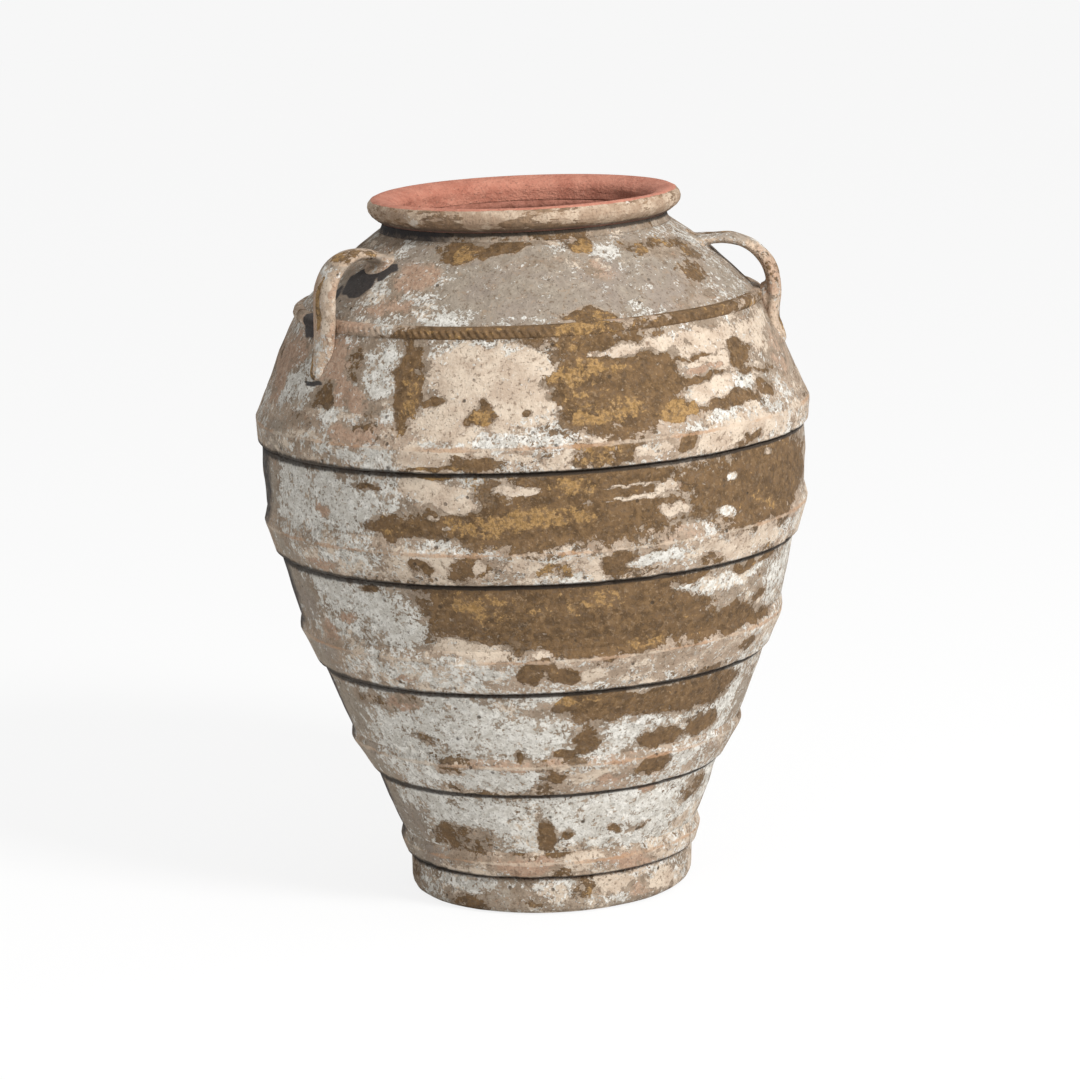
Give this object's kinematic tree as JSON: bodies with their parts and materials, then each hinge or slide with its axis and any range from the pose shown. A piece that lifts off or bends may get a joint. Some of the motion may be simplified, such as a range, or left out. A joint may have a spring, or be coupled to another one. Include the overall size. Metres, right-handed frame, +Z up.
{
  "type": "storage jar",
  "caption": "Large weathered terracotta storage jar (amphora or pithos) with banded wall, rolled rim and strap handles on the shoulder, for storing or as a garden ornament",
  "frame": {"origin": "centre of the foot, on the surface that the jar stands on", "axes": "+Z up along the jar's axis; -Y toward the side that shows two handles; +X to that side's right"},
  "size_m": [0.6908, 0.6908, 0.88],
  "materials": {
    "clay_weathered": "matte, limed and stained",
    "clay_belt": "matte, worn on the crests",
    "clay_rim": "matte",
    "clay_handle": "matte",
    "clay_inner": "matte"
  },
  "bodies": {
    "root": {"base_disc": "clay_inner", "foot_wall": "clay_weathered", "wall_ring_1": "clay_weathered", "wall_ring_2": "clay_weathered", "wall_ring_3": "clay_weathered", "wall_ring_4": "clay_weathered", "wall_ring_5": "clay_weathered", "shoulder": "clay_weathered", "neck_ring": "clay_weathered", "rim": "clay_rim", "belt_1": "clay_belt", "belt_2": "clay_belt", "belt_3": "clay_belt", "belt_4": "clay_belt", "belt_5": "clay_belt", "shoulder_cordon": "clay_belt", "handle_left": "clay_handle", "handle_right": "clay_handle", "handle_back": "clay_handle"}
  },
  "joints": []
}
